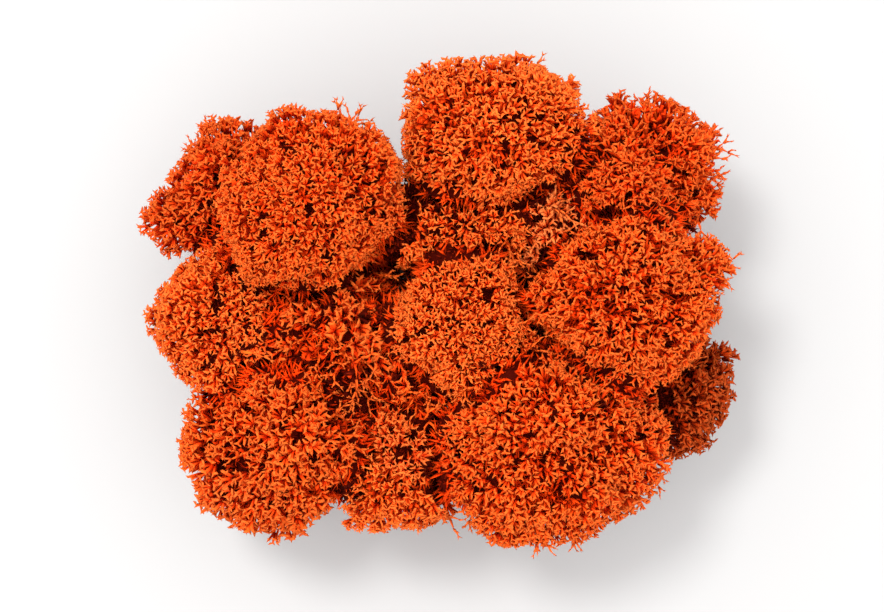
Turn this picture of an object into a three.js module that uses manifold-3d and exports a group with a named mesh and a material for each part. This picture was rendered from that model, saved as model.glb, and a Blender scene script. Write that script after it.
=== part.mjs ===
// A clump of reindeer moss (the cushion lichen Cladonia stellaris), dried and dyed orange.
// The clump is a handful of separate tufts. Each tuft is one lichen body: a stalk that rises from
// the torn base and branches into a rounded crown. The tufts fan out from a point under the base.
// Their crowns press against each other: the taller tuft keeps its shape, and the lower one is
// hollowed where it leans on it.
// Millimetres, +Z up, standing on Z = 0. +X is the clump's long side, and -Y is its front.
import * as THREE from "three";
import { mergeVertices } from "three/addons/utils/BufferGeometryUtils.js";
import Module from "manifold-3d";

const wasm = await Module();
wasm.setup();

// Driving dimensions.
const FAN_DEPTH = 27; // how far below the base the tufts' axes meet
const LEAN_SHARE = 0.75; // how far a crown tips outwards, as a share of its stalk's own lean
const GAP = 0.35; // left between two tufts that press against each other
const FOOT_SHARE = 0.42; // radius of a stalk's foot, as a share of its crown's half width
const NECK_SHARE = 0.76; // the same for the top of the stalk, at the crown's widest
const FOOT_SIDES = 12;
const STALK_STEPS = 3;
const SKIRT_TAPER = 0.3; // how much the crown narrows towards the underside of its skirt
const SKIRT_DROP = 1.2; // how far the skirt reaches down, as a share of the crown's half height
const BUN_POWER = 2.5; // 2 is a round crown; more gives it a flatter top and fuller shoulders
const SLOW_SWELL = 1.3; // how far a crown bulges or sinks over half its width
const LOBE_PITCH = 10; // spacing of the lobes on a crown
const CREASE_DEPTH = 2.2; // how far inside the crown's half widths the creases between lobes lie
const LOBE_HEIGHTS = [0.8, 3.6]; // how far the lowest and the tallest lobes rise from the creases
const FACET = 3.1; // edge length that the crown's triangles aim at

// Each tuft: the middle of its crown in plan, the crown's half widths, the height of its top and
// its half height. Left, right, front and back are as seen from the front, -Y. The tallest come
// first, because each tuft gives way to those above it in the list.
const BRIGHT = "bright";
const RUSSET = "russet";
const TUFTS = [
  { name: "tuft_back_left", x: -20.5, y: 16.5, rx: 15, ry: 14.5, top: 48, rz: 14, dye: BRIGHT },
  { name: "tuft_right", x: 28.5, y: 1.5, rx: 15.5, ry: 15, top: 45, rz: 14, dye: BRIGHT },
  { name: "tuft_back", x: 7.5, y: 26.5, rx: 17, ry: 12.5, top: 44, rz: 13, dye: BRIGHT },
  { name: "tuft_front", x: 16, y: -21.5, rx: 19.5, ry: 16.5, top: 42, rz: 15, dye: BRIGHT },
  { name: "tuft_centre", x: 3, y: -3, rx: 12.5, ry: 12.5, top: 42, rz: 12, dye: RUSSET },
  { name: "tuft_inner_back", x: 1, y: 13, rx: 15, ry: 11, top: 39, rz: 11, dye: RUSSET },
  { name: "tuft_front_left", x: -26.5, y: -21.5, rx: 16, ry: 15, top: 38, rz: 13, dye: BRIGHT },
  { name: "tuft_mid_left", x: -17.5, y: -6, rx: 14.5, ry: 14, top: 38, rz: 12, dye: BRIGHT },
  { name: "tuft_back_right", x: 31, y: 20.5, rx: 14.5, ry: 13.5, top: 38, rz: 12, dye: BRIGHT },
  { name: "tuft_left", x: -33.5, y: -2, rx: 12.5, ry: 15.5, top: 36, rz: 12, dye: BRIGHT },
  { name: "tuft_inner_right", x: 19, y: 13, rx: 10.5, ry: 9.5, top: 37, rz: 10, dye: RUSSET },
  { name: "tuft_front_lobe", x: -6.5, y: -25, rx: 14, ry: 12.5, top: 36.5, rz: 11.5, dye: RUSSET },
  { name: "tuft_inner_front", x: -4, y: -14, rx: 9.5, ry: 8.5, top: 34, rz: 9, dye: BRIGHT },
  { name: "tuft_back_corner", x: -36, y: 18.5, rx: 11.5, ry: 12, top: 31, rz: 10.5, dye: RUSSET },
  { name: "tuft_right_low", x: 37, y: -14.5, rx: 10.5, ry: 12.5, top: 29, rz: 10, dye: RUSSET },
];

const DYES = {
  [BRIGHT]: { color: 0xe0521a, roughness: 0.85, metalness: 0 },
  [RUSSET]: { color: 0xc4541f, roughness: 0.9, metalness: 0 },
};

const UP = new THREE.Vector3(0, 0, 1);
const FAN = new THREE.Vector3(0, 0, -FAN_DEPTH);
const middleOf = (tuft) => new THREE.Vector3(tuft.x, tuft.y, tuft.top - tuft.rz);

// A number from 0 to 1 that looks random but is the same each time.
function chance(seed) {
  const mixed = Math.sin(seed * 127.1 + 311.7) * 43758.5453;
  return mixed - Math.floor(mixed);
}

// Directions spread evenly over a sphere, turned by the tuft's number so that no two crowns match.
function evenDirections(count, turn) {
  const goldenAngle = Math.PI * (3 - Math.sqrt(5));
  return Array.from({ length: count }, (_, i) => {
    const z = 1 - (2 * i + 1) / count;
    const ring = Math.sqrt(1 - z * z);
    const angle = i * goldenAngle + turn;
    return new THREE.Vector3(ring * Math.cos(angle), ring * Math.sin(angle), z);
  });
}

// What turns a point of the unit ball into one of a unit bun.
function bunScale(point) {
  const flat = Math.hypot(point.x, point.y) ** BUN_POWER;
  return (flat + Math.abs(point.z) ** BUN_POWER) ** (-1 / BUN_POWER);
}

// How far a crown stands out or in at a point of the unit ball, over distances wider than a lobe.
function slowSwell(point, number) {
  const across = Math.sin(2.6 * point.x + 6.3 * chance(number + 60));
  const along = Math.cos(2.9 * point.y + 6.3 * chance(number + 80));
  return SLOW_SWELL * across * along;
}

// The crown: a bun of uneven lobes that narrows a little towards its skirt, stretched to its half
// widths, tipped outwards and grown by a margin.
function crownGeometry(tuft, number, margin) {
  const radius = (tuft.rx + tuft.ry + tuft.rz) / 3;
  const lobes = evenDirections(Math.round((4 * Math.PI * radius ** 2) / LOBE_PITCH ** 2), number);
  const heights = lobes.map((_, i) => THREE.MathUtils.lerp(...LOBE_HEIGHTS, chance(i + 31 * number)));
  const lobeAngle = (0.72 * LOBE_PITCH) / radius;
  const geometry = new THREE.IcosahedronGeometry(1, Math.round((1.1 * radius) / FACET) - 1);
  const at = geometry.getAttribute("position");
  const point = new THREE.Vector3();
  for (let i = 0; i < at.count; i++) {
    point.fromBufferAttribute(at, i).normalize();
    const rises = lobes.map((lobe, k) => heights[k] * (1 - (point.angleTo(lobe) / lobeAngle) ** 2));
    const height = margin - CREASE_DEPTH + slowSwell(point, number) + Math.max(0, ...rises);
    const swell = bunScale(point) * (1 + height / radius);
    const taper = 1 - SKIRT_TAPER * Math.max(0, -point.z);
    at.setXYZ(
      i,
      point.x * taper * swell * tuft.rx,
      point.y * taper * swell * tuft.ry,
      point.z * swell * tuft.rz * (point.z < 0 ? SKIRT_DROP : 1),
    );
  }
  const middle = middleOf(tuft);
  const axis = middle.clone().sub(FAN).normalize();
  const upright = new THREE.Quaternion();
  const lean = upright.slerp(new THREE.Quaternion().setFromUnitVectors(UP, axis), LEAN_SHARE);
  return geometry.applyQuaternion(lean).translate(middle.x, middle.y, middle.z);
}

// The stalk: an oval cone from a flat foot on the ground to a neck inside the crown, along the
// line from the fan's point to the crown's middle.
function stalkGeometry(tuft, margin) {
  const middle = middleOf(tuft);
  const geometry = new THREE.CylinderGeometry(NECK_SHARE, FOOT_SHARE, 1, FOOT_SIDES, STALK_STEPS);
  geometry.rotateX(Math.PI / 2).translate(0, 0, 0.5);
  const at = geometry.getAttribute("position");
  const foot = FAN.clone().lerp(middle, FAN_DEPTH / (middle.z + FAN_DEPTH));
  for (let i = 0; i < at.count; i++) {
    const up = at.getZ(i);
    const axis = foot.clone().lerp(middle, up);
    const outward = new THREE.Vector2(at.getX(i), at.getY(i));
    const grown = 1 + margin / (outward.length() * Math.min(tuft.rx, tuft.ry) || 1);
    const x = axis.x + outward.x * grown * tuft.rx;
    const y = axis.y + outward.y * grown * tuft.ry;
    at.setXYZ(i, x, y, up * middle.z - (up === 0 ? margin : 0));
  }
  return geometry;
}

// manifold-3d joins and cuts closed meshes whose shared corners are merged.
function solidOf(geometry) {
  geometry.deleteAttribute("normal");
  geometry.deleteAttribute("uv");
  const merged = mergeVertices(geometry, 1e-4);
  const vertProperties = merged.getAttribute("position").array;
  const triVerts = new Uint32Array(merged.index.array);
  return new wasm.Manifold(new wasm.Mesh({ numProp: 3, vertProperties, triVerts }));
}

function geometryOf(solid) {
  const mesh = solid.getMesh();
  const geometry = new THREE.BufferGeometry();
  geometry.setAttribute("position", new THREE.BufferAttribute(mesh.vertProperties, 3));
  geometry.setIndex(new THREE.BufferAttribute(mesh.triVerts, 1));
  geometry.computeVertexNormals();
  return geometry;
}

const wholeTuft = (tuft, number, margin) =>
  solidOf(crownGeometry(tuft, number, margin)).add(solidOf(stalkGeometry(tuft, margin)));

// A tuft less the room that the taller ones take. A sliver that this cuts off is left out.
function tuftGeometry(tuft, number) {
  let solid = wholeTuft(tuft, number, 0);
  TUFTS.slice(0, number).forEach((taller, tallerNumber) => {
    solid = solid.subtract(wholeTuft(taller, tallerNumber, GAP));
  });
  const pieces = solid.decompose().sort((a, b) => b.volume() - a.volume());
  return geometryOf(pieces[0]);
}

function tuftMesh(tuft, number) {
  const mesh = new THREE.Mesh(tuftGeometry(tuft, number), new THREE.MeshStandardMaterial(DYES[tuft.dye]));
  mesh.name = tuft.name;
  return mesh;
}

const clump = new THREE.Group();
TUFTS.forEach((tuft, number) => clump.add(tuftMesh(tuft, number)));

// The origin is on the ground, under the middle of the clump's box.
const middle = new THREE.Box3().setFromObject(clump).getCenter(new THREE.Vector3());
clump.children.forEach((mesh) => mesh.position.set(-middle.x, -middle.y, 0));

export default clump;
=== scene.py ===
# %% [markdown]
# # A clump of reindeer moss
#
# Reindeer moss is not a moss. It is a cushion lichen, *Cladonia stellaris*, and this clump has
# been dried and dyed orange. It is a handful of tufts pressed together. A tuft is one lichen body:
# strands that rise from the torn base and fork again and again, until the crown ends in hundreds
# of tiny cups of forked tips. There is no skin anywhere. The whole look is made by twigs and by
# the dark between them.
#
# The packed model already holds each tuft as a plain solid, in its real place. It is loaded first,
# and every twig is grown inside those solids.

# %% Load the frame
import math

import bpy
import numpy as np
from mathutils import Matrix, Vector
from mathutils.bvhtree import BVHTree


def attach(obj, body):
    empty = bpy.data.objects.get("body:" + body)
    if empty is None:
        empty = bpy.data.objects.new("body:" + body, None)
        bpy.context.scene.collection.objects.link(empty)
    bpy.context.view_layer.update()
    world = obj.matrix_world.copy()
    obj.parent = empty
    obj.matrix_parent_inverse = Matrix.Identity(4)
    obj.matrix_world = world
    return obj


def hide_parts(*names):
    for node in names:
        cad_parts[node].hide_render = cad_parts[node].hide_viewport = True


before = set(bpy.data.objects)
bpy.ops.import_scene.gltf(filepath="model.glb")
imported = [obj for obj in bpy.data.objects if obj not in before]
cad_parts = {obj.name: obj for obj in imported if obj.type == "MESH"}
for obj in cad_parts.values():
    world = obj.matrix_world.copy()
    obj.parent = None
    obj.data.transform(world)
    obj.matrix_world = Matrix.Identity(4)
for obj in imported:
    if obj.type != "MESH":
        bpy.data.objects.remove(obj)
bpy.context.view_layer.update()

MM = 0.001
UP = np.array([0.0, 0.0, 1.0])
bpy.ops.object.select_all(action="DESELECT")
print("tufts in the frame:", ", ".join(sorted(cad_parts)))

# %% [markdown]
# ## How the tufts differ
#
# No two heads of a clump look alike. Some are tight and velvety, because their cups are small and
# close. Others are open, so that longer forks and dark holes show. The dye took brightly on most
# of them and came out duller or redder on a few. The amber dye is also made lighter, as painted
# light for heads in shade, and the low tuft on the right has a darker dye as painted shade. So
# each tuft has a name, the spacing of its cups in millimetres, how much of it is open, and the dye
# that it took. One table for all of them is easier to compare and to change than values spread
# over fifteen objects.

# %% One line for each tuft
TUFTS = {
    # the amber dye is a yellower orange, made lighter as painted light for heads in shade
    "tuft_back_left": (1.35, 0.00, "bright"),
    "tuft_right": (1.55, 0.12, "bright"),
    "tuft_back": (1.51, 0.10, "amber"),
    "tuft_front": (1.66, 0.12, "bright"),
    "tuft_centre": (1.28, 0.00, "amber"),
    "tuft_inner_back": (1.45, 0.15, "amber"),
    "tuft_front_left": (1.80, 0.12, "bright"),
    "tuft_mid_left": (2.00, 0.40, "bright"),
    "tuft_back_right": (1.57, 0.30, "deep"),
    "tuft_left": (1.45, 0.10, "amber"),
    "tuft_inner_right": (1.55, 0.35, "tan"),
    "tuft_front_lobe": (1.49, 0.10, "amber"),
    "tuft_inner_front": (1.90, 0.40, "bright"),
    "tuft_back_corner": (1.60, 0.20, "deep"),
    # the darker dye of this low tuft is painted shade
    "tuft_right_low": (1.71, 0.35, "umber"),
}
spacings = [spacing for spacing, _, _ in TUFTS.values()]
print(len(TUFTS), "tufts, with cups", min(spacings), "to", max(spacings), "mm apart")

# %% [markdown]
# ## Twigs as tapered tubes
#
# A twig is a bent, tapering tube. By hand it would be a cylinder that is extruded and turned step
# by step, a curve with a bevel, or edges under a Skin modifier. All three work for a few hundred
# twigs, but this clump has tens of thousands, and each one bends its own way. So the tubes are
# worked out in numpy, a whole batch at a time, and written straight into one mesh for each tuft. A
# tube has a flat end where it leaves its branch and a sharp tip, so it is closed.
#
# Three numbers are stored on each point for the material: `tip` is 1 at the very ends of the
# twigs, `depth` grows towards the inside of the tuft and sets how much painted shade the point
# gets, and `tone` differs a little from sprig to sprig.


# %% Directions and curves in batches
def unit(vectors):
    """The same directions, with length 1."""
    return vectors / np.maximum(np.linalg.norm(vectors, axis=-1, keepdims=True), 1e-9)


def across(directions, rng):
    """For each direction, two that stand square to it and to each other, at a random turn."""
    side = unit(np.cross(directions, rng.normal(size=directions.shape)))
    return side, np.cross(directions, side)


PULL = 0.4  # how far a branch keeps its direction at either end, as a share of its length


def bent(start, end, leave, arrive, steps):
    """Points along curves that leave and arrive in the given directions."""
    length = np.linalg.norm(end - start, axis=1, keepdims=True)
    first, second = start + PULL * length * leave, end - PULL * length * arrive
    t = np.linspace(0, 1, steps)[None, :, None]
    a, b, c, d = (p[:, None, :] for p in (start, first, second, end))
    return (1 - t) ** 3 * a + 3 * t * (1 - t) ** 2 * b + 3 * t**2 * (1 - t) * c + t**3 * d


WAVES = 24  # enough sine waves, added up, to look random


def uneven(width, rng):
    """A smooth random height over space: swells about `width` mm across, mostly from -1 to 1."""
    directions = unit(rng.normal(size=(WAVES, 3)))
    widths = width * rng.uniform(0.7, 1.5, WAVES)
    start = rng.uniform(0, 2 * np.pi, WAVES)
    waves = directions.T * (np.pi / widths)
    return lambda points: np.sin(points @ waves + start).sum(-1) / math.sqrt(WAVES)


somewhere = np.random.default_rng(1).uniform(0, 90, (1000, 3))
lumps = uneven(5.0, np.random.default_rng(0))(somewhere)
print("lumps lie between", round(lumps.min(), 1), "and", round(lumps.max(), 1))


# %% The rings and faces of a tube
def tube_rings(paths, radii, sides, rng):
    """Rings of points around each path, one at each of its points but the last."""
    rings = radii.shape[1]
    along = unit(np.gradient(paths, axis=1)[:, :rings])
    side = across(along[:, 0], rng)[0][:, None]
    side = unit(side - (side * along).sum(-1, keepdims=True) * along)
    other = np.cross(along, side)
    angle = 2 * np.pi * np.arange(sides) / sides
    spoke = np.cos(angle)[:, None] * side[:, :, None] + np.sin(angle)[:, None] * other[:, :, None]
    return (paths[:, :rings, None] + radii[..., None, None] * spoke).reshape(len(paths), -1, 3)


def tube_faces(rings, sides):
    """Corners and sizes of one tube's faces: walls between rings, a fan at the tip, a flat end."""
    here = np.arange(sides)
    next_to = (here + 1) % sides
    last = (rings - 1) * sides
    walls = [np.stack([low + here, low + next_to, low + sides + next_to, low + sides + here], 1)
             for low in range(0, last, sides)]
    fan = np.stack([last + here, last + next_to, np.full(sides, rings * sides)], 1)
    corners = np.concatenate([np.array(walls, int).ravel(), fan.ravel(), here[::-1]])
    sizes = np.concatenate([np.full(last, 4), np.full(sides, 3), [sides]])
    return corners, sizes


END_BAND = 0.15  # the share of a tube's square in the UV map that its flat end takes


def tube_map(rings, sides):
    """Where those corners lie in the tube's own square of the UV map: the end below the walls."""
    wall = [[(k + du, i + dv) for du, dv in ((0, 0), (1, 0), (1, 1), (0, 1))]
            for i in range(rings - 1) for k in range(sides)]
    fan = [[(k, rings - 1), (k + 1, rings - 1), (k + 0.5, rings)] for k in range(sides)]
    spots = np.array([spot for face in wall + fan for spot in face], float) / (sides, rings)
    spots[:, 1] = END_BAND + (1 - END_BAND) * spots[:, 1]
    turn = -2 * np.pi * np.arange(sides) / sides
    end = np.stack([0.5 + 0.4 * np.cos(turn), END_BAND * (0.4 + np.sin(turn) / 3)], 1)
    return np.concatenate([spots, end])


print("faces of a tube with 2 rings of 3:", len(tube_faces(2, 3)[1]))


# %% A tangle collects the twigs of one tuft
class Tangle:
    """Closed shells, in millimetres, batch after batch."""

    def __init__(self, rng):
        self.rng = rng
        self.points, self.marks, self.corners, self.sizes, self.spots = [], [], [], [], []
        self.count, self.shells = 0, 0

    def join(self, points, marks, corners, sizes, spots, shells):
        """Takes in a batch. A spot is a place in its shell's square of the UV map, and the number
        of that shell in the batch."""
        self.points.append(points)
        self.marks.append(marks)
        self.corners.append(corners.ravel() + self.count)
        self.sizes.append(sizes)
        self.spots.append(spots + (0, 0, self.shells))
        self.count += len(points)
        self.shells += shells

    def add(self, paths, radii, sides, tip, depth, tone):
        """Tubes along paths: twigs x points x 3, where the last point of each is its sharp end.
        tip and depth hold a value for each point of a path, tone one for each path."""
        twigs, rings = paths.shape[0], paths.shape[1] - 1
        if not twigs:
            return
        body = tube_rings(paths, np.broadcast_to(radii, (twigs, rings)), sides, self.rng)
        points = np.concatenate([body, paths[:, -1:]], 1)
        marks = []
        for values in (tip, depth, np.asarray(tone)[:, None]):
            values = np.broadcast_to(values, (twigs, rings + 1))
            on_rings = values[:, :rings].repeat(sides, 1)
            marks.append(np.concatenate([on_rings, values[:, rings:]], 1))
        corners, sizes = tube_faces(rings, sides)
        first = points.shape[1] * np.arange(twigs)[:, None]
        square, number = tube_map(rings, sides), np.arange(twigs)
        spots = np.column_stack([np.tile(square, (twigs, 1)), number.repeat(len(square))])
        self.join(points.reshape(-1, 3), np.stack(marks, -1).reshape(-1, 3), first + corners,
                  np.tile(sizes, twigs), spots, twigs)

    def triangles(self):
        return sum(int((sizes - 2).sum()) for sizes in self.sizes)


twig = Tangle(np.random.default_rng(0))
bend = np.array([[(0, 0, 0), (0, 0, 1), (0, 0.2, 2)]], float)
twig.add(bend, 0.2, 3, (0, 0.5, 1), (1, 0.5, 0), [0])
print("one twig with a bend:", twig.count, "points and", twig.triangles(), "triangles")


# %% From a tangle to an object
CELL_EDGE = 0.08  # left free around each shell in its square of the UV map


def as_object(tangle, name):
    """One Blender object, in metres, with nothing below the ground."""
    points = np.concatenate(tangle.points) * MM
    points[:, 2] = np.maximum(points[:, 2], 0)
    corners, sizes = np.concatenate(tangle.corners), np.concatenate(tangle.sizes)
    mesh = bpy.data.meshes.new(name)
    mesh.vertices.add(len(points))
    mesh.vertices.foreach_set("co", points.ravel())
    mesh.loops.add(len(corners))
    mesh.loops.foreach_set("vertex_index", corners)
    mesh.polygons.add(len(sizes))
    mesh.polygons.foreach_set("loop_start", np.concatenate([[0], np.cumsum(sizes)[:-1]]))
    mesh.update(calc_edges=True)
    marks = np.concatenate(tangle.marks)
    for k, label in enumerate(("tip", "depth", "tone")):
        mesh.attributes.new(label, "FLOAT", "POINT").data.foreach_set("value", marks[:, k].copy())
    spots, rows = np.concatenate(tangle.spots), math.ceil(math.sqrt(tangle.shells))
    square = np.stack([spots[:, 2] % rows, spots[:, 2] // rows], 1)
    flat = (square + CELL_EDGE + (1 - 2 * CELL_EDGE) * spots[:, :2]) / rows
    mesh.uv_layers.new(name="OFBake").data.foreach_set("uv", flat.ravel())
    mesh.shade_smooth()
    piece = bpy.data.objects.new(name, mesh)
    bpy.context.scene.collection.objects.link(piece)
    return piece


print("share of the UV map that shells may fill:", round((1 - 2 * CELL_EDGE) ** 2, 2))

# %% [markdown]
# ## The room that a tuft has
#
# The crown of a tuft ends in cups that share its surface evenly, as buds do that all want light.
# Where a neighbour presses against the tuft there is no light and no cup, and below the crown they
# stop. A search tree of the neighbours' solids tells how far off they are, how much taller the
# nearest one is, and which directions of the sky they hide. Painting such a mask by hand would be
# the other way, but it would have to be painted again whenever a tuft moves.


# %% Read the surface of a tuft
def corner_normals(points, triangles):
    """The outward direction at each corner. Corners within 0.01 mm of each other share it."""
    a, b, c = points[triangles].transpose(1, 0, 2)
    shared = np.unique(points.round(2), axis=0, return_inverse=True)[1].ravel()
    normals = np.zeros((shared.max() + 1, 3))
    for k in range(3):
        np.add.at(normals, shared[triangles[:, k]], np.cross(b - a, c - a))
    return unit(normals)[shared]


def surface_of(mesh):
    """Corners, triangles and corner normals of a mesh, in millimetres."""
    mesh.calc_loop_triangles()
    points = np.empty(len(mesh.vertices) * 3)
    mesh.vertices.foreach_get("co", points)
    points = points.reshape(-1, 3) / MM
    triangles = np.empty(len(mesh.loop_triangles) * 3, int)
    mesh.loop_triangles.foreach_get("vertices", triangles)
    triangles = triangles.reshape(-1, 3)
    return points, triangles, corner_normals(points, triangles)


SURFACES = {node: surface_of(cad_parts[node].data) for node in TUFTS}
TOPS = {node: surface[0][:, 2].max() for node, surface in SURFACES.items()}
print("the tufts are", round(min(TOPS.values()), 1), "to", round(max(TOPS.values()), 1), "mm tall")


# %% Areas, and random points on a surface
def area_of(surface):
    """Area of each triangle."""
    a, b, c = surface[0][surface[1]].transpose(1, 0, 2)
    return np.linalg.norm(np.cross(b - a, c - a), axis=1) / 2


def scatter(surface, count, rng):
    """Random points on a surface, with their normals."""
    points, triangles, normals = surface
    area = area_of(surface)
    chosen = triangles[rng.choice(len(triangles), count, p=area / area.sum())]
    share = rng.dirichlet((1, 1, 1), count)[..., None]
    return (points[chosen] * share).sum(1), unit((normals[chosen] * share).sum(1))


largest = max(area_of(surface).sum() for surface in SURFACES.values())
print("the largest tuft has", round(largest / 100), "square centimetres of surface")


# %% A search tree of the neighbours
def tree_of(nodes):
    """A search tree of several solids together, with the height of the tuft of each triangle."""
    points, triangles, tops, first = [], [], [], 0
    for node in nodes:
        corners, faces, _ = SURFACES[node]
        points.append(corners)
        triangles.append(faces + first)
        tops.append(np.full(len(faces), TOPS[node]))
        first += len(corners)
    points, triangles = np.concatenate(points).tolist(), np.concatenate(triangles).tolist()
    return BVHTree.FromPolygons(points, triangles), np.concatenate(tops)


NEIGHBOURS = {node: tree_of([other for other in TUFTS if other != node]) for node in TUFTS}
print("triangles around the front tuft:", len(NEIGHBOURS["tuft_front"][1]))


# %% How near the neighbours are, and how much sky they leave
FAR = 3.0  # a neighbour that is further off than this makes no difference
SKY_RINGS = ((1, 0.15), (1, 0.9), (0.35, 1))  # how far out and up: low, halfway and steep
SKY = unit(np.array([(math.cos(turn) * out, math.sin(turn) * out, up) for out, up in SKY_RINGS
                     for turn in np.arange(6) * math.pi / 3 + up]))


def room_to(node, points):
    """For each point, how far the nearest other tuft is, up to FAR, and how much taller it is."""
    tree, tops = NEIGHBOURS[node]
    found = [tree.find_nearest(point, FAR)[2:] for point in points.tolist()]
    room = np.array([FAR if face is None else apart for face, apart in found])
    taller = np.array([0.0 if face is None else tops[face] - TOPS[node] for face, _ in found])
    return room, np.maximum(taller, 0)


def open_sky(node, points, normals):
    """For each point, the share of the sky before it in which no other tuft stands. A point that
    faces down has little sky, and counts as shaded."""
    tree, _ = NEIGHBOURS[node]
    before = normals @ SKY.T > 0.1
    free = np.zeros_like(before)
    for i, k in np.argwhere(before).tolist():
        free[i, k] = tree.ray_cast(points[i], SKY[k])[0] is None
    return free.sum(1) / np.maximum(before.sum(1), 3)


print("directions of sky that are tried:", len(SKY))

# %% [markdown]
# ## The uneven crown
#
# A crown is not smooth. Its twigs stand out in lumps of about 5 mm, with smaller ones on them, and
# small dark pits lie between the cups. Points are scattered over the tuft's solid, pushed in and
# out, and thinned until no two are closer than the tuft's spacing, which itself swells and shrinks
# over the crown. Blue-noise scattering of this kind is what gives an even, natural crowd. A plain
# random scatter would leave clots and bare spots.


# %% An even crowd of points
def thinned(points, spacing):
    """Which points to keep so that none is closer to an earlier one than its spacing."""
    spacing = np.broadcast_to(spacing, len(points))
    kept, grid = [], {}
    reach = [(x, y, z) for x in (-1, 0, 1) for y in (-1, 0, 1) for z in (-1, 0, 1)]
    for i, (x, y, z) in enumerate((points // spacing.max()).astype(int).tolist()):
        near = [j for dx, dy, dz in reach for j in grid.get((x + dx, y + dy, z + dz), ())]
        if near and (((points[near] - points[i]) ** 2).sum(1) < spacing[i] ** 2).any():
            continue
        kept.append(i)
        grid.setdefault((x, y, z), []).append(i)
    return np.array(kept)


print("points kept 9 mm apart, of 1000:", len(thinned(somewhere, 9.0)))


# %% Lumps on a crown, and its ragged lower edge
CROWN_FLOOR = 0.32  # below about this share of a tuft's height there are bare strands, no cups
RAGGED = 0.06  # how far the crown's lower edge strays from that, up or down
WIDE, FINE = (5.5, 0.85), (2.4, 0.55)  # how wide the lumps of both sizes are, and how high
LUMP_RANGE = (-2.2, 1.3)  # how far in and out they reach at most
ragged = uneven(7.0, np.random.default_rng(2))


def edge_rise(points):
    """How much higher than CROWN_FLOOR the ragged lower edge of the crowns lies."""
    return RAGGED * ragged(points)


def skin_of(node, rng):
    """How far the twigs stand out at any place: lumps of two sizes, but none where it is pressed.
    The lumps of a tight crown are lower than those of an open one."""
    wide, fine = uneven(WIDE[0], rng), uneven(FINE[0], rng)
    _, openness, _ = TUFTS[node]
    lumpy = 0.65 + openness

    def skin(points):
        free = np.clip(room_to(node, points)[0] / 2.0, 0, 1)
        lumps = lumpy * (WIDE[1] * wide(points) + FINE[1] * fine(points) - 0.35)
        return (free * np.clip(lumps, *LUMP_RANGE))[:, None]
    return skin


front_skin = skin_of("tuft_front", np.random.default_rng(0))
lumps = front_skin(SURFACES["tuft_front"][0])
print("on the front tuft they reach from", lumps.min().round(1), "to", lumps.max().round(1), "mm")


# %% Places for twigs
CANDIDATES = 14000  # places that are tried on each tuft
THIN_UNDER = 1.15  # the spacing grows by this factor where the crown faces down
SWELL = (6.0, 0.16)  # it also swells and shrinks over so many millimetres, by this share


def canopy(node, spacing, skin, rng):
    """Places over the crown of a tuft, with normals. Under the crown they thin out."""
    points, normals = scatter(SURFACES[node], CANDIDATES, rng)
    above = points[:, 2] / TOPS[node] - CROWN_FLOOR - edge_rise(points)
    keep = (above > 0) & (rng.random(len(points)) < np.clip(above / 0.2, 0.1, 1))
    points, normals = points[keep], normals[keep]
    points = points + normals * skin(points)
    wider = np.where(normals[:, 2] < -0.2, THIN_UNDER, 1.0)
    gap = spacing * (1 + SWELL[1] * uneven(SWELL[0], rng)(points)) * wider
    kept = thinned(points, np.clip(gap, 0.75 * spacing, 1.5 * spacing))
    return points[kept], normals[kept]


tried, _ = canopy("tuft_front", TUFTS["tuft_front"][0], front_skin, np.random.default_rng(0))
print("places for cups on the front tuft:", len(tried))


# %% Pits between the cups
PIT_DEPTH = 6.0  # how far above and below the surface a pit pushes cups aside
SAMPLES = 4000  # points that stand for a whole surface


def pits_of(node, pitch, rng):
    """Lines into the crown along which hardly anything grows."""
    points, normals = scatter(SURFACES[node], SAMPLES, rng)
    kept = thinned(points, pitch * rng.uniform(0.8, 1.3, len(points)))
    return points[kept], unit(normals[kept] + rng.normal(size=(len(kept), 3)) * 0.12)


def off_pits(points, pits):
    """For each point, the way to it from the line of the nearest pit, square to that line."""
    spots, ways = pits
    apart = points[:, None] - spots[None]
    along = (apart * ways).sum(-1)
    near = np.where(np.abs(along) < PIT_DEPTH, (apart**2).sum(-1) - along**2, 99).argmin(1)
    pick = np.arange(len(points))
    return apart[pick, near] - along[pick, near][:, None] * ways[near]


pits, _ = pits_of("tuft_front", 3.0, np.random.default_rng(0))
print("pits about 3 mm apart on the front tuft:", len(pits))

# %% [markdown]
# ## From the cups down to the base
#
# A lichen forks on its way up, so it is easiest to build on its way down. Neighbouring cups are
# gathered in threes or fours to a fork below them, those forks to a thicker one further down, and
# so on. Every fork lies towards the tuft's own axis, which bends from its foot to its crown. What
# is left at the end are the main strands, up to a few dozen of them, which run down to the torn
# base. Growing upwards with an L-system would be the usual way, but its crown would not end where
# the plain solid does.


# %% The way down
def axis_of(node):
    """Where the middle of a tuft lies at any height."""
    points, _ = scatter(SURFACES[node], SAMPLES, np.random.default_rng(1))
    bend = [np.polyfit(points[:, 2], points[:, k], 2) for k in (0, 1)]
    return lambda z: np.stack([np.polyval(bend[0], z), np.polyval(bend[1], z), z], -1)


STEEP = 0.9  # how far down the axis a twig aims, for each millimetre that it is away from it
LEAST_DROP = 4.0  # and how much further down, in any case


def inward(points, axis):
    """The way down and towards the axis, from each point."""
    out = np.linalg.norm(points[:, :2] - axis(points[:, 2])[:, :2], axis=1)
    low = np.maximum(points[:, 2] - STEEP * out - LEAST_DROP, 1.0)
    return axis(low) - points


def gathered(points, axis, step, spacing, rng):
    """Forks below some points: their places, and for each point the number of its fork."""
    way = inward(points, axis)
    room = np.linalg.norm(way, axis=1, keepdims=True)
    below = points + unit(way) * np.minimum(step, 0.6 * room)
    below += rng.normal(size=points.shape) * 0.08 * step
    order = rng.permutation(len(below))
    seeds = below[order][thinned(below[order], spacing)]
    owner = ((below[:, None] - seeds[None]) ** 2).sum(-1).argmin(1)
    taken, owner = np.unique(owner, return_inverse=True)
    return np.stack([below[owner == k].mean(0) for k in range(len(taken))]), owner


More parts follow.
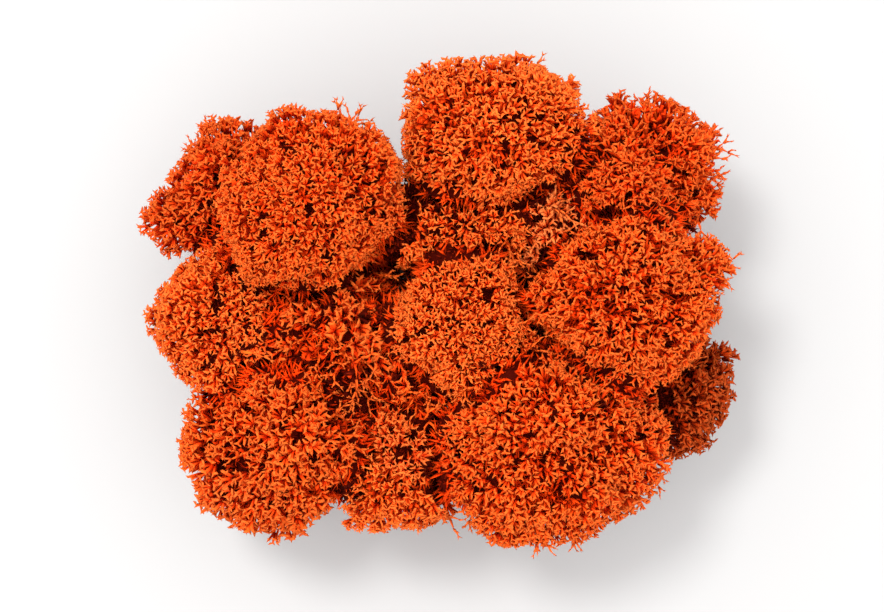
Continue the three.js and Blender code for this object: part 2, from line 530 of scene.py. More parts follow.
def fork_axes_of(forks, owner, points):
    """The way each fork grows: towards the middle of what it carries."""
    middle = np.stack([points[owner == k].mean(0) for k in range(len(forks))])
    return unit(middle - forks)


print("the front tuft's axis meets the ground at", axis_of("tuft_front")(0.0).round(1))

# %% [markdown]
# ## The cups
#
# At its end a twig splits into four or five arms. They leave one point, lean out, rise, and bend
# along the rim of a cup, where each ends in a little fork of sharp tips. Seen from above, a cup is
# a star of bright points around a dark hole, and these stars are what makes the lichen look like
# itself. A cup could be modelled once and copied. But copies would show as a pattern, so each one
# is drawn with its own number of arms, width, turn and lean. A second, coarser layer of cups lies
# under the first, and shows through between its arms.

# %% Two kinds of cup
# For each layer: how many arms a cup has, how far apart the cups are and what radius they have, as
# shares of the tuft's spacing, how deep a cup is and how thick its arms, as shares of its width,
# how far it is sunk, in millimetres, and the depth marks along an arm.
# the depth marks paint shade: darkest at the bottom of a cup, where little light gets in
OUTER = {"arms": (4, 5), "apart": 1.0, "ring": 0.5, "cup": 1.2, "thick": 0.145, "sunk": 0.0,
         "depth": (1.02, 0.32, 0.05, 0.0)}
MIDDLE = {"arms": (3, 4), "apart": 1.4, "ring": 0.58, "cup": 0.85, "thick": 0.16, "sunk": 1.7,
          "depth": (1.0, 0.75, 0.6)}
print("arms of an outer cup:", OUTER["arms"], "and of an inner one:", MIDDLE["arms"])


# %% The arms of a cup
def arm_of(kind, base, shoulder, spoke, edge, lift, ring, rng):
    """The tubes of one arm in every cup: path, share of its thickness, tip and depth."""
    depth = np.array(kind["depth"])
    if kind is MIDDLE:
        end = shoulder + 0.8 * ring * unit(edge + lift)
        return [(np.stack([base, shoulder, end], 1), (0.95, 1.0), (0.0, 0.3, 0.6), depth)]

    def some(least, most):
        return rng.uniform(least, most, (len(base), 1))

    knee = shoulder + some(0.45, 0.75) * ring * unit(edge + 0.35 * spoke + 0.6 * lift)
    end = knee + some(0.32, 0.6) * ring * unit(edge + some(-0.2, 1.0) * spoke + 2 * lift)
    out = unit(some(0.3, 0.9) * spoke - some(0.5, 1.1) * edge + 2 * lift)
    horn = np.stack([shoulder - 0.12 * ring * out, shoulder + some(0.6, 1.0) * ring * out], 1)
    along_rim = np.stack([base, shoulder, knee, end], 1)
    return [(along_rim, (0.9, 1.0, 0.85), (0.0, 0.4, 0.75, 1.0), depth),
            (horn, (1.0,), (0.4, 1.0), np.array((0.2, 0.0)))]


x, y, z = np.eye(3)[:, None]
arm = arm_of(OUTER, 0 * x, x + z, x, y, 0.2 * z, 1.0, np.random.default_rng(0))
print("tubes in each arm of an outer cup:", len(arm))


# %% Cups
def add_cups(tangle, places, axes, ring, shade, kind, rng):
    """At each place a cup of about the given radius, its depth marks raised by the painted shade
    given for it. Returns where the cups join their twigs."""
    count, most = len(places), kind["arms"][1]
    side, other = across(axes, rng)
    arms = rng.integers(kind["arms"][0], most + 1, count)
    ring = ring * rng.uniform(0.82, 1.22, (count, 1))
    cup = 2 * kind["cup"] * ring * rng.uniform(0.8, 1.2, (count, 1))
    bottom = places - cup * axes
    thick = 2 * kind["thick"] * ring * rng.uniform(0.88, 1.12, (count, 1))
    tone = rng.uniform(-1, 1, count)
    for k in range(most):
        turn = (2 * np.pi * (k + rng.uniform(-0.28, 0.28, count)) / arms)[:, None]
        spoke = np.cos(turn) * side + np.sin(turn) * other
        edge = np.cross(axes, spoke) * rng.choice((-1, 1), (count, 1))
        lift = rng.uniform(0.1, 0.4, (count, 1)) * axes
        reach = 0.95 * ring * rng.uniform(0.75, 1.15, (count, 1))
        shoulder = bottom + reach * spoke + cup * rng.uniform(0.66, 0.92, (count, 1)) * axes
        base = bottom + 0.1 * ring * spoke
        has = arms > k
        for path, radii, tip, depth in arm_of(kind, base, shoulder, spoke, edge, lift, ring, rng):
            tangle.add(path[has], thick[has] * radii, 3, tip, depth + shade[has], tone[has])
    return bottom


cup = Tangle(np.random.default_rng(0))
add_cups(cup, np.zeros((1, 3)), UP[None], 0.8, np.zeros((1, 1)), OUTER, cup.rng)
print("a cup has", cup.shells, "tubes and", cup.triangles(), "triangles")

# %% [markdown]
# ## Sprigs like antlers
#
# Where a crown is open, and at its edges, longer sprigs stand alone. Each stem splits in two, and
# each half splits again in the plane across the first, down to sharp tips. It is the same rule at
# every level with shorter and thinner stems, so one loop makes them all. A few are left out at
# each level. Copies of one sprig modelled by hand would be less code, but the eye finds the
# repeats.


# %% Sprigs
SPRIG_THICK = 0.27  # radius of a sprig's stem at its root
THINNER, SHORTER, SHORTEST = 0.86, 0.72, 0.5  # from one level to the next, and to the tips
GROWN = (0.94, 0.88)  # the share of halves that grow from the first stem, and from later ones


def add_sprigs(tangle, roots, ways, length, thick, levels, depth, rng):
    """Forked sprigs on the given roots. Their first stems have about the given length."""
    tone = rng.uniform(-1, 1, len(roots))
    length = length * rng.uniform(0.75, 1.25, (len(roots), 1))
    plane, _ = across(ways, rng)
    for level in range(levels):
        ends = roots + unit(ways + rng.normal(size=roots.shape) * 0.12) * length
        mid = (roots + ends) / 2 + rng.normal(size=roots.shape) * 0.07 * length
        tips = np.linspace(level, level + 1, 3) / (levels + 1)
        paths = np.stack([roots, mid, ends + (ends - mid) * 0.12], 1)
        tangle.add(paths, thick * np.array((1.0, 0.97)), 3, tips, depth * (1 - tips), tone)
        spread = rng.uniform(0.35, 0.75, (len(roots), 2))
        ways = unit(ends - roots)
        plane = unit(plane - (plane * ways).sum(1, keepdims=True) * ways)
        roots = np.concatenate([ends - 0.1 * length * ways] * 2)
        halves = [unit(ways + sign * spread[:, i:i + 1] * plane) for i, sign in ((0, 1), (1, -1))]
        plane = np.concatenate([unit(np.cross(ways, plane) + 0.5 * plane)] * 2)
        shorter = SHORTEST if level == levels - 1 else SHORTER
        shorter = shorter * rng.uniform(0.8, 1.2, (len(roots), 1))
        keep = rng.random(len(roots)) < GROWN[min(level, 1)]
        length = (np.concatenate([length] * 2) * shorter)[keep]
        roots, plane, ways = roots[keep], plane[keep], np.concatenate(halves)[keep]
        tone, thick = np.concatenate([tone] * 2)[keep], thick * THINNER
    ends = roots + unit(ways + rng.normal(size=roots.shape) * 0.12) * length
    tips = np.array((levels, levels + 1)) / (levels + 1)
    tangle.add(np.stack([roots, ends], 1), thick, 3, tips, depth * (1 - tips), tone)


sample = Tangle(np.random.default_rng(0))
add_sprigs(sample, np.zeros((1, 3)), UP[None], 2.2, SPRIG_THICK, 3, 0.5, sample.rng)
print("a sprig has", sample.shells, "stems and", sample.triangles(), "triangles")

# %% [markdown]
# ## Branches and strands
#
# Between the cups and the base runs the wood of the lichen, as one may call it. The branches near
# the cups are short and only need a bend. The main strands are what the sides of the clump show:
# long, wavy, slightly crossed, and set with small sprigs of their own where light reaches them. A
# bevelled curve would do for a strand, but its waves come out more natural from two sines of
# random phase, one long and one short, that die away at both ends.


# %% Branches
def add_branches(tangle, forks, owner, points, fork_axes, point_axes, thick, thin, depth, steps):
    """A curved branch from each fork up to each of its points."""
    paths = bent(forks[owner], points, fork_axes[owner], point_axes, steps)
    tangle.add(paths, np.linspace(thick, thin, steps)[None, :-1], 3, np.zeros((1, steps)),
               np.linspace(*depth, steps)[None], tangle.rng.uniform(-1, 1, len(points)))


# Each level of forks, from the cups down: how far below, how far apart in cup spacings, the radius
# of its branches at both ends, their depth marks, and the points along each.
LEVELS = ((2.2, 1.7, 0.32, 0.26, (0.7, 0.5), 3),
          (4.0, 2.5, 0.50, 0.34, (0.85, 0.6), 4),
          (5.0, 1.9, 0.50, 0.45, (0.9, 0.8), 5))


def add_wood(tangle, ends, end_axes, spacing, axis, rng):
    """All the branches under some ends. Returns the lowest forks and the ways they grow."""
    for step, apart, thick, thin, depth, steps in LEVELS:
        forks, owner = gathered(ends, axis, step, apart * spacing, rng)
        fork_axes = fork_axes_of(forks, owner, ends)
        add_branches(tangle, forks, owner, ends, fork_axes, end_axes, thick, thin, depth, steps)
        ends, end_axes = forks, fork_axes
    return ends, end_axes


print("levels of branches:", len(LEVELS))


# %% Strands
STRAND_POINTS = 12
STRAND_RADII = (0.50, 0.35)  # at the base, and at the lowest fork
STRAND_WAVES = ((1.3, 0.7), (2.7, 0.4))  # how many waves along a strand, and how high they are


def foot_of(node):
    """Middle and half widths of the ground that a tuft stands on."""
    points = SURFACES[node][0]
    low = points[points[:, 2] < 0.1]
    return (low.max(0) + low.min(0)) / 2, (low.max(0) - low.min(0))[:2] / 2


def add_strands(tangle, node, forks, fork_axes, axis, rng):
    """Main strands from the base up to the lowest forks. Returns their paths."""
    steps, count = STRAND_POINTS, len(forks)
    middle, half = foot_of(node)
    out = (forks - axis(forks[:, 2]))[:, :2]
    out = out / np.abs(out).max(0) + rng.normal(size=out.shape) * 0.12
    out *= np.minimum(1, 1 / np.maximum(np.linalg.norm(out, axis=1, keepdims=True), 1e-6))
    foot = np.column_stack([middle[:2] + 0.92 * half * out, rng.uniform(-0.5, 1.2, count)])
    lean = unit(forks - foot)
    paths = bent(foot, forks, unit(UP + lean), unit(fork_axes + lean), steps)
    side, other = across(lean, rng)
    t = np.linspace(0, 1, steps)[None, :, None]
    for waves, height in STRAND_WAVES:
        phase = rng.uniform(0, 2 * np.pi, (2, count, 1, 1))
        for start, way in zip(phase, (side, other)):
            swing = height * np.sin(np.pi * t) ** 0.5 * np.sin(2 * np.pi * waves * t + start)
            paths = paths + swing * way[:, None]
    radii = np.linspace(*STRAND_RADII, steps)[None, :-1] * rng.uniform(0.65, 1.25, (count, 1))
    tangle.add(paths, radii, 4, np.zeros((1, steps)), np.linspace(0.55, 0.75, steps)[None],
               rng.uniform(-1, 1, count))
    return paths


print("the front tuft stands on", (2 * foot_of("tuft_front")[1]).round(1), "mm")


# %% Side sprigs on the strands
SIDE_SPRIGS = 12  # tried on each strand, before most of the hidden ones are left out
SIDE_LENGTH = 2.0  # of their first stems


def add_side_sprigs(tangle, node, strands, axis, rng):
    """Short forked sprigs on the strands, fewer where they can hardly be seen."""
    which = rng.integers(0, len(strands), SIDE_SPRIGS * len(strands))
    roots = strands[which, rng.integers(0, STRAND_POINTS - 1, len(which))]
    out = (roots - axis(roots[:, 2])) * (1, 1, 0) + rng.normal(size=roots.shape) * 0.5
    out = unit(out)
    seen = (open_sky(node, roots, out) > 0.1) | (rng.random(len(roots)) < 0.3)
    ways = unit(out * rng.uniform(0.3, 1.1, (len(roots), 1))
                + rng.uniform(-0.2, 1.1, (len(roots), 1)) * UP)
    add_sprigs(tangle, roots[seen], ways[seen], SIDE_LENGTH, SPRIG_THICK, 2, 0.6, rng)


print("side sprigs tried on each strand:", SIDE_SPRIGS)

# %% [markdown]
# ## Layers of cups
#
# In the crease between two tufts no cup can open, so each layer keeps clear of its neighbours:
# more so beside a taller tuft, which takes the light. The cups nearest to a crease sink into it
# and turn upwards. The outer cups also step back from the pits, and they leave the open patches to
# the sprigs. Cutting finished cups off at the crease would be simpler, but it would slice twigs.


# %% A layer of cups
SEAM = 0.28  # room left beside a neighbour, for each millimetre that it is taller
SEAM_RANGE = (0.65, 2.3)  # the least and the most of it
PIT_RADIUS = 0.86  # how far the outer cups stay from a pit's middle, as a share of their spacing


def add_layer(tangle, node, kind, spacing, skin, pits, patches, axis, rng):
    """One layer of cups over the crown. Returns where they are joined on, and how they face."""
    outer = kind is OUTER
    places, normals = canopy(node, kind["apart"] * spacing, skin, rng)
    room, taller = room_to(node, places)
    seam = np.clip(SEAM * taller * (1 + 0.6 * uneven(12.0, rng)(places)), *SEAM_RANGE)
    clear = room > (seam if outer else 0.6 * seam - 0.3)
    keep = clear & (open_sky(node, places, normals) > 0.04)
    aside = off_pits(places, pits)
    near = np.linalg.norm(aside, axis=1, keepdims=True)
    if outer:
        keep &= ~patches(places)
        step = np.maximum(PIT_RADIUS * spacing - near, 0)
        places = places + aside / np.maximum(near, 0.05) * step
    else:
        keep &= (near[:, 0] > 0.9 * spacing) | patches(places)
    places, normals, room = places[keep], normals[keep], room[keep]
    crease = np.clip(1 - room / FAR, 0, 1)[:, None]
    axes = unit((1 - 0.5 * crease) * normals - 0.35 * unit(inward(places, axis))
                + 0.5 * crease * UP + rng.normal(size=places.shape) * 0.17)
    stray = rng.uniform(-0.3, 0.3, (len(places), 1)) * spacing
    bases = places - normals * (kind["sunk"] + 2.1 * crease**2 + stray)
    ring = kind["ring"] * spacing
    # cups near a crease get painted shade: their depth marks rise with the crease
    return add_cups(tangle, bases, axes, ring, 0.6 * crease**2, kind, rng), axes


radii = [round(OUTER["ring"] * spacing, 2) for spacing in (min(spacings), max(spacings))]
print("the outer cups have radii of about", radii[0], "to", radii[1], "mm")


# %% Open sprigs
OPEN_APART = (1.3, 2.1)  # cup spacings between them, and millimetres at most
OPEN_ROOT = 3.7  # how deep they are rooted
OPEN_LENGTH = 2.25  # of their first stems
IN_CREASE, STRAYING = 0.2, 0.02  # the share of places that get one in a crease, and anywhere


def add_open_sprigs(tangle, node, spacing, skin, patches, axis, rng):
    """Longer forked sprigs in the open patches and across the creases between tufts."""
    places, normals = canopy(node, min(OPEN_APART[0] * spacing, OPEN_APART[1]), skin, rng)
    room, _ = room_to(node, places)
    crease = (room > 0.3) & (room < 2.2) & (rng.random(len(places)) < IN_CREASE)
    stray = rng.random(len(places)) < STRAYING
    high = (normals[:, 2] > -0.3) & (places[:, 2] > 0.45 * TOPS[node])
    on = (patches(places) | crease | stray) & high & (open_sky(node, places, normals) > 0.1)
    places, normals, crease = places[on], normals[on], crease[on][:, None]
    roots = places - OPEN_ROOT * normals
    ways = unit(normals - 0.25 * unit(inward(places, axis)) + 0.7 * crease * UP
                + rng.normal(size=places.shape) * 0.3)
    add_sprigs(tangle, roots, ways, OPEN_LENGTH, SPRIG_THICK, 3, 0.3, rng)
    return roots, ways


closest = round(OPEN_APART[0] * min(spacings), 1)
print("open sprigs stand", closest, "to", OPEN_APART[1], "mm apart")

# %% [markdown]
# ## The dark inside
#
# A crown is so full of twigs that nothing shines through it. Making all of them would take
# millions of faces that nobody sees. So its middle is one solid mass, made from the tuft's own
# solid: a copy is cut level where the bare strands begin and closed there, with the same operators
# as by hand. It is coloured near black, as painted shade for the dark between those twigs. Then
# its corners are drawn in towards the axis and down: several millimetres under the open crown,
# hardly at all where a neighbour presses, and less under the lumps of the crown than between them.
# Its lower rim follows the ragged edge of the crown. A Displace modifier would push along the
# normals, but on the narrow tufts that turns thin places inside out.

# %% Cut a copy of a solid
MASS_FLOOR = 0.36  # the mass ends at about this share of a tuft's height


def cut_copy(node, height):
    """A copy of a tuft's solid, cut off level and closed at a height."""
    bpy.ops.object.select_all(action="DESELECT")
    mass = bpy.data.objects.new("inner_mass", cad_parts[node].data.copy())
    bpy.context.scene.collection.objects.link(mass)
    mass.select_set(True)
    bpy.context.view_layer.objects.active = mass
    bpy.ops.object.mode_set(mode="EDIT")
    bpy.ops.mesh.select_all(action="SELECT")
    bpy.ops.mesh.remove_doubles(threshold=0.01 * MM)
    bpy.ops.mesh.bisect(plane_co=(0, 0, height * MM), plane_no=(0, 0, 1), clear_inner=True,
                        use_fill=True)
    bpy.ops.object.mode_set(mode="OBJECT")
    return mass


print("the mass in the front tuft starts", round(MASS_FLOOR * TOPS["tuft_front"], 1), "mm up")


# %% The inner mass
MASS_DEPTH = 2.9  # how far it is drawn in where the crown is open
MORE_DEPTH = 1.2  # and how much further where it faces up, and again under an open patch


def inner_mass(node, axis, skin, patches):
    """The surface of the dark mass inside a tuft's crown."""
    copy = cut_copy(node, MASS_FLOOR * TOPS[node])
    points, triangles, normals = surface_of(copy.data)
    bpy.data.meshes.remove(copy.data)
    high = np.clip((points[:, 2:] / TOPS[node] - MASS_FLOOR) / (1 - MASS_FLOOR), 0, 1)
    alone = room_to(node, points)[0] >= FAR
    light = np.maximum(np.clip(open_sky(node, points, normals) / 0.3, 0, 1), alone)[:, None]
    facing_up, patch = np.clip(normals[:, 2:], 0, 1), patches(points)[:, None]
    sunk = 0.5 + (MASS_DEPTH + MORE_DEPTH * facing_up + MORE_DEPTH * patch) * light
    middle = axis(points[:, 2])
    reach = np.linalg.norm(points - middle, axis=1, keepdims=True)
    drawn = middle + (points - middle) * np.maximum(1 - sunk / np.maximum(reach, 1e-6), 0.25)
    drawn += high * sunk * -UP + normals * skin(points) * np.minimum(2 * high, 1)
    rise = np.maximum(edge_rise(points), -0.01)[:, None]
    drawn += np.maximum(1 - 4 * high, 0) * TOPS[node] * rise * UP
    return drawn, triangles, corner_normals(drawn, triangles)


print("an open crown's mass lies up to", 0.5 + MASS_DEPTH + 2 * MORE_DEPTH, "mm deep")

# %% [markdown]
# ## A thicket for the eye to get lost in
#
# A bare mass would show as smooth clay wherever one looks between the cups. So it is set all over
# with short twigs. Under the cups they reach up into the light. In the pits and the creases they
# stay low, and there and in the open patches their depth mark gives them painted shade. A bump on
# the mass would be cheaper, but it has no tips that catch the light.


# %% Thicket on the mass
THICKET = 2.1  # twigs on each square millimetre of the mass
LOW, TALL = (0.5, 1.3), (1.2, 3.0)  # how long they are
LOW_DEPTH, TALL_DEPTH = (1.15, 0.98), (0.95, 0.5)  # their depth marks, at the root and at the tip, which set their painted shade
PATCH_SHADE = 0.27  # painted shade added to the marks of the tall ones in the open patches
MASS_SHADE_MARK = 1.25  # the depth mark of the mass itself: full painted shade, near black
THICK = 0.34  # radius of a thicket twig at its root


def add_mass(tangle, surface):
    """Takes the mass into the tangle. Each of its faces has its own square of the UV map."""
    points, triangles, _ = surface
    spots = np.tile(((0.1, 0.1), (0.9, 0.1), (0.5, 0.9)), (len(triangles), 1))
    spots = np.column_stack([spots, np.arange(len(triangles)).repeat(3)])
    marks = np.tile((0.0, MASS_SHADE_MARK, 0.0), (len(points), 1))
    tangle.join(points, marks, triangles, np.full(len(triangles), 3), spots, len(triangles))


def add_thicket(tangle, node, mass, pits, patches, rng):
    """Short twigs all over the mass, apart from where a neighbour hides it."""
    places, ways = scatter(mass, int(THICKET * area_of(mass).sum()), rng)
    under = ways[:, 2] < -0.3
    keep = under | (open_sky(node, places, ways) > 0.03)
    places, under = places[keep], under[keep]
    ways = unit(ways[keep] + rng.normal(size=places.shape) * 0.5)
    room, taller = room_to(node, places)
    in_pit = np.linalg.norm(off_pits(places, pits), axis=1) < 1.0
    in_patch = patches(places)
    low = (room < 0.16 * taller) | (in_pit & ~in_patch) | under
    length = np.where(low, rng.uniform(*LOW, len(places)), rng.uniform(*TALL, len(places)))
    depth = np.where(low[:, None], LOW_DEPTH, TALL_DEPTH)
    depth = depth + PATCH_SHADE * (in_patch & ~low)[:, None]
    paths = np.stack([places - 0.4 * ways, places + ways * length[:, None]], 1)
    tangle.add(paths, THICK, 3, (0.0, 0.1), depth, rng.uniform(-1, 1, len(places)))


front = area_of(SURFACES["tuft_front"]).sum()
print("the front tuft's whole solid would take", int(THICKET * front), "of them")

# %% [markdown]
# ## Growing the tufts
#
# Each tuft grows on its own random numbers, so changing one leaves the others as they are. One
# stream of numbers for all would be shorter, but then every change would redraw the whole clump.
# The order is that of the real thing seen from outside in: cups and open sprigs, the wood that
# carries them, the strands with their side sprigs, and the dark inside. The finished twigs replace
# the plain solid and ride where it rides.


# %% Grow a tuft
PIT_PITCH = 1.9  # cup spacings from one pit to the next
PATCH_WIDTH = 8.0  # of the open patches, in millimetres


def grow(node, spacing, openness, rng):
    """All the twigs of one tuft, and how many of each kind."""
    tangle = Tangle(rng)
    axis, skin, holes = axis_of(node), skin_of(node, rng), uneven(PATCH_WIDTH, rng)
    pits = pits_of(node, PIT_PITCH * spacing, rng)
    level = 2.2 * openness - 1.45  # the uneven height up to which a place is open

    def patches(places):
        return (holes(places) <= level) & (places[:, 2] > 0.5 * TOPS[node])

    layers = [add_layer(tangle, node, kind, spacing, skin, pits, patches, axis, rng)
              for kind in (OUTER, MIDDLE)]
    layers.append(add_open_sprigs(tangle, node, spacing, skin, patches, axis, rng))
    ends, end_axes = (np.concatenate(parts) for parts in zip(*layers))
    limbs, limb_axes = add_wood(tangle, ends, end_axes, spacing, axis, rng)
    strands = add_strands(tangle, node, limbs, limb_axes, axis, rng)
    add_side_sprigs(tangle, node, strands, axis, rng)
    mass = inner_mass(node, axis, skin, patches)
    add_mass(tangle, mass)
    add_thicket(tangle, node, mass, pits, patches, rng)
    names = ("outer cups", "inner cups", "open sprigs", "strands")
    return tangle, dict(zip(names, [len(places) for places, _ in layers] + [len(strands)]))


print("pits on the tightest crown are about", round(PIT_PITCH * min(spacings), 1), "mm apart")


# %% Plant every tuft
SEED = 41
PIECES, total = {}, 0
for number, (node, (spacing, openness, _)) in enumerate(TUFTS.items()):
    tangle, tally = grow(node, spacing, openness, np.random.default_rng([SEED, number]))
    piece = as_object(tangle, node.replace("tuft", "lichen"))
    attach(piece, "root")
    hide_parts(node)
    PIECES[node] = piece
    total += tangle.triangles()
    print(piece.name, tally, "triangles:", tangle.triangles())
print("triangles in all:", total)

# %% [markdown]
# ## The dyed lichen
#
# The twigs are matt and a little felty. The dye is an even orange with a few soft changes:
#
# - the tips are yellower and duller;
# - towards the inside the twigs get painted shade: redder at first, as a painted glow of light
#   through them, and near black at the deepest;
# - a sprig here and there took a little more or less of it;
# - over patches of about a centimetre the lichen's own grey shows through as a dull tan;
# - the torn ends at the base are dark and brownish.
#
# A painted texture could hold all this, but it would blur at the size of a twig. The marks on the
# points do it sharply, and noise on Object coordinates does the rest. All tufts share these
# changes, so they are one node group. It hands out a colour, a roughness and a normal, and each
# dye's material puts them into its own Principled shader.


# %% A small kit for node trees
class Wiring:
    """Makes nodes in a tree. Inputs that are sockets are linked, others are set."""

    def __init__(self, tree):
        self.tree = tree

    def put(self, kind, inputs=(), **settings):
        node = self.tree.nodes.new("ShaderNode" + kind)
        for name, value in settings.items():
            setattr(node, name, value)
        for name, value in dict(inputs).items():
            if isinstance(value, bpy.types.NodeSocket):
                self.tree.links.new(value, node.inputs[name])
            else:
                node.inputs[name].default_value = value
        return node

    def attribute(self, name):
        return self.put("Attribute", attribute_name=name).outputs["Fac"]

    def noise(self, coordinates, size, detail=2.0):
        """Noise from 0 to 1, with lumps of about this many millimetres."""
        inputs = {"Vector": coordinates, "Scale": 0.5 / (size * MM), "Detail": detail}
        return self.put("TexNoise", inputs).outputs["Fac"]

    def ramp(self, value, low, high, to_low=0.0, to_high=1.0):
        """The value stretched so that low and high land on to_low and to_high."""
        inputs = {"Value": value, "From Min": low, "From Max": high, "To Min": to_low,
                  "To Max": to_high}
        return self.put("MapRange", inputs, interpolation_type="SMOOTHSTEP").outputs["Result"]

    def mix(self, share, first, second, way="MIX"):
        inputs = {"Factor": share, "A": first, "B": second}
        return self.put("Mix", inputs, data_type="RGBA", blend_type=way).outputs["Result"]

    def add(self, first, second):
        return self.put("Math", {0: first, 1: second}, operation="ADD").outputs[0]

    def grey(self, value):
        return self.put("CombineColor", {"Red": value, "Green": value, "Blue": value}).outputs[0]


print("the kit has", ", ".join(name for name in vars(Wiring) if not name.startswith("_")))


# %% Colour of the dyed twigs
TORN_BROWN = (0.26, 0.040, 0.010, 1)
# near black: the painted shade of the deepest twigs and of the inner mass
PAINTED_INNER_SHADE = (0.045, 0.0012, 0.0004, 1)
TORN_UP_TO = 12.0 * MM  # height at which the last brown of the torn base ends


def dye_colour(at, dyes, place, depth):
    """The colour at a point, from the dye's four colours, the marks and the height."""
    colour = at.mix(at.ramp(at.attribute("tip"), 0.1, 1.0), dyes["Dye"], dyes["Tips"])
    colour = at.mix(at.ramp(at.noise(place, 9.0), 0.54, 0.72, 0.0, 0.55), colour, dyes["Faded"])
    # painted shade towards the inside of the tuft, redder as a painted glow of light through twigs
    colour = at.mix(at.ramp(depth, 0.1, 0.95), colour, dyes["Inside"])
    shade = at.add(at.ramp(at.attribute("tone"), -1.0, 1.0, 0.88, 1.08),
                   at.ramp(at.noise(place, 0.5), 0.3, 0.7, -0.06, 0.06))
    colour = at.mix(1.0, colour, at.grey(shade), "MULTIPLY")
    height = at.put("SeparateXYZ", {"Vector": place}).outputs["Z"]
    wavy = at.add(height, at.ramp(at.noise(place, 3.0), 0.3, 0.7, -2.0 * MM, 2.0 * MM))
    colour = at.mix(at.ramp(wavy, 1.0 * MM, TORN_UP_TO, 0.85, 0.0), colour, TORN_BROWN)
    # near black at the deepest marks: painted shade
    return at.mix(at.ramp(depth, 0.74, 1.12), colour, PAINTED_INNER_SHADE)


print("the torn base is brown up to", round(TORN_UP_TO / MM), "mm")


# %% The group that all dyes share
def dyed_lichen():
    """A shader group: the dye's colours go in; a colour, a roughness and a normal come out."""
    tree = bpy.data.node_groups.new("dyed_lichen", "ShaderNodeTree")
    for name in ("Dye", "Tips", "Inside", "Faded"):
        tree.interface.new_socket(name, in_out="INPUT", socket_type="NodeSocketColor")
    for name, kind in (("Colour", "Color"), ("Roughness", "Float"), ("Normal", "Vector")):
        tree.interface.new_socket(name, in_out="OUTPUT", socket_type="NodeSocket" + kind)
    at = Wiring(tree)
    dyes = tree.nodes.new("NodeGroupInput").outputs
    place, depth = at.put("TexCoord").outputs["Object"], at.attribute("depth")
    felt = at.noise(place, 0.12, 3.0)
    colour = dye_colour(at, dyes, place, depth)
    rough = at.add(at.ramp(felt, 0.3, 0.7, 0.70, 0.86), at.ramp(depth, 0.0, 1.0, 0.0, 0.12))
    bump = at.put("Bump", {"Height": felt, "Strength": 0.5, "Distance": 0.06 * MM})
    made = {"Colour": colour, "Roughness": rough, "Normal": bump.outputs["Normal"]}
    out = tree.nodes.new("NodeGroupOutput")
    for name, value in made.items():
        tree.links.new(value, out.inputs[name])
    return tree


LICHEN = dyed_lichen()
print("nodes in the group:", len(LICHEN.nodes))

# %% [markdown]
# ## Five dye baths
#
# The heads did not all take the same orange. Each dye has four colours: that of the twigs, of
# their tips, of the painted shade inside, and of the faded patches. The amber dye is also made
# lighter, as painted light, and the darkest dye is painted shade for a low tuft. A random hue for
# each object would be less work, but then chance would say which heads are dull. A felty twig has
# almost no gloss, and what little it has is warm, so the specular level is low and its tint is
# orange.

# %% One material for each dye
DYES = {
    "bright": ((0.82, 0.102, 0.008), (0.62, 0.114, 0.018),
               (0.81, 0.036, 0.001), (0.56, 0.104, 0.018)),
    # a yellower orange, made lighter as painted light against the shade on its heads
    "amber": ((0.88, 0.124, 0.011), (0.71, 0.142, 0.024),
              (0.83, 0.044, 0.002), (0.62, 0.124, 0.025)),
    "deep": ((0.78, 0.087, 0.007), (0.58, 0.094, 0.014),
             (0.77, 0.032, 0.001), (0.53, 0.092, 0.016)),
    "tan": ((0.80, 0.148, 0.022), (0.66, 0.162, 0.042),
            (0.76, 0.056, 0.006), (0.62, 0.150, 0.044)),
    # a darker, browner orange, as painted shade for a low tuft
    "umber": ((0.46, 0.053, 0.005), (0.36, 0.055, 0.009),
              (0.42, 0.022, 0.001), (0.31, 0.055, 0.010)),
}
GLOSS = 0.12
GLOSS_TINT = (1.0, 0.45, 0.25, 1)


def dyed(name, colours):
    """The material of one dye."""
    material = bpy.data.materials.new("dyed_" + name)
    material.use_nodes = True
    shader = material.node_tree.nodes["Principled BSDF"]
    shader.inputs["Specular IOR Level"].default_value = GLOSS
    shader.inputs["Specular Tint"].default_value = GLOSS_TINT
    group = material.node_tree.nodes.new("ShaderNodeGroup")
    group.node_tree = LICHEN
    for socket, colour in zip(("Dye", "Tips", "Inside", "Faded"), colours):
        group.inputs[socket].default_value = (*colour, 1)
    for given, taken in zip(("Colour", "Roughness", "Normal"),
                            ("Base Color", "Roughness", "Normal")):
        material.node_tree.links.new(group.outputs[given], shader.inputs[taken])
    return material


MATERIALS = {name: dyed(name, colours) for name, colours in DYES.items()}
for node, piece in PIECES.items():
    piece.data.materials.append(MATERIALS[TUFTS[node][2]])
print("dyes:", ", ".join(MATERIALS))

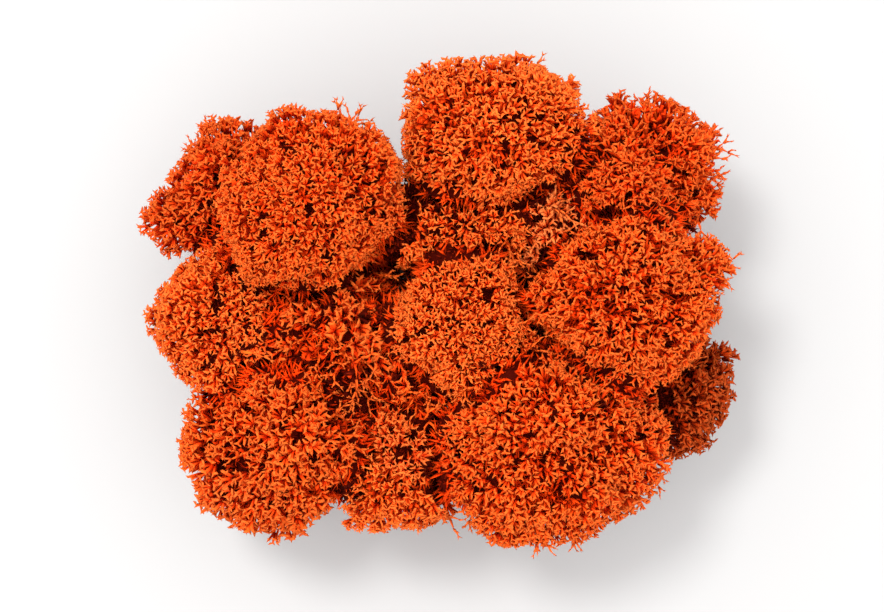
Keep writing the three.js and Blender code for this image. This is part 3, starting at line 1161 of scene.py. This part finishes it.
# %% [markdown]
# ## Floor, light and camera
#
# The clump is shown as it would lie on a worktop, seen from straight above. The light is soft and
# comes from all over the sky, with one lamp high at the back left that gives each head a lit and a
# shaded side. The shade down between the twigs does the rest. More lamps would only cross their
# shadows.

# %% The floor
FLOOR_GREY = (0.400, 0.408, 0.416, 1)

bpy.ops.mesh.primitive_plane_add(size=6, location=(0, 0, 0))
floor = bpy.context.object
floor.name = "floor"
paper = bpy.data.materials.new("paper")
paper.use_nodes = True
paper_shader = paper.node_tree.nodes["Principled BSDF"]
paper_shader.inputs["Base Color"].default_value = FLOOR_GREY
paper_shader.inputs["Roughness"].default_value = 0.9
floor.data.materials.append(paper)
print("floor:", tuple(floor.dimensions))

# %% The light
SKY_COLOUR, SKY_STRENGTH = (1.0, 0.97, 0.95, 1), 2.03
LAMP_PLACE = Vector((-0.24, 0.26, 0.77))
LAMP_AIM = Vector((0, 0, 0.02))

world = bpy.data.worlds.new("studio")
world.use_nodes = True
world.node_tree.nodes["Background"].inputs["Color"].default_value = SKY_COLOUR
world.node_tree.nodes["Background"].inputs["Strength"].default_value = SKY_STRENGTH
bpy.context.scene.world = world

key_data = bpy.data.lights.new("key", "AREA")
key_data.shape, key_data.size = "DISK", 0.22
key_data.energy, key_data.color = 5.0, (1.0, 0.98, 0.95)
key = bpy.data.objects.new("key", key_data)
key.location = LAMP_PLACE
key.rotation_euler = (LAMP_AIM - LAMP_PLACE).to_track_quat("-Z", "Y").to_euler()
bpy.context.scene.collection.objects.link(key)
print("the lamp is", round(LAMP_PLACE.length, 2), "m away")

# %% The camera
camera_data = bpy.data.cameras.new("camera")
camera_data.lens, camera_data.clip_start = 85, 0.01
camera = bpy.data.objects.new("camera", camera_data)
camera.location = (0, 0, 0.36)
bpy.context.scene.collection.objects.link(camera)
bpy.context.scene.camera = camera
bpy.context.scene.view_settings.view_transform = "Standard"
print("the camera looks down from", round(camera.location.z, 2), "m")

# %% [markdown]
# ## Sizes
#
# The twigs may stand a little out of the plain solids, but not far.
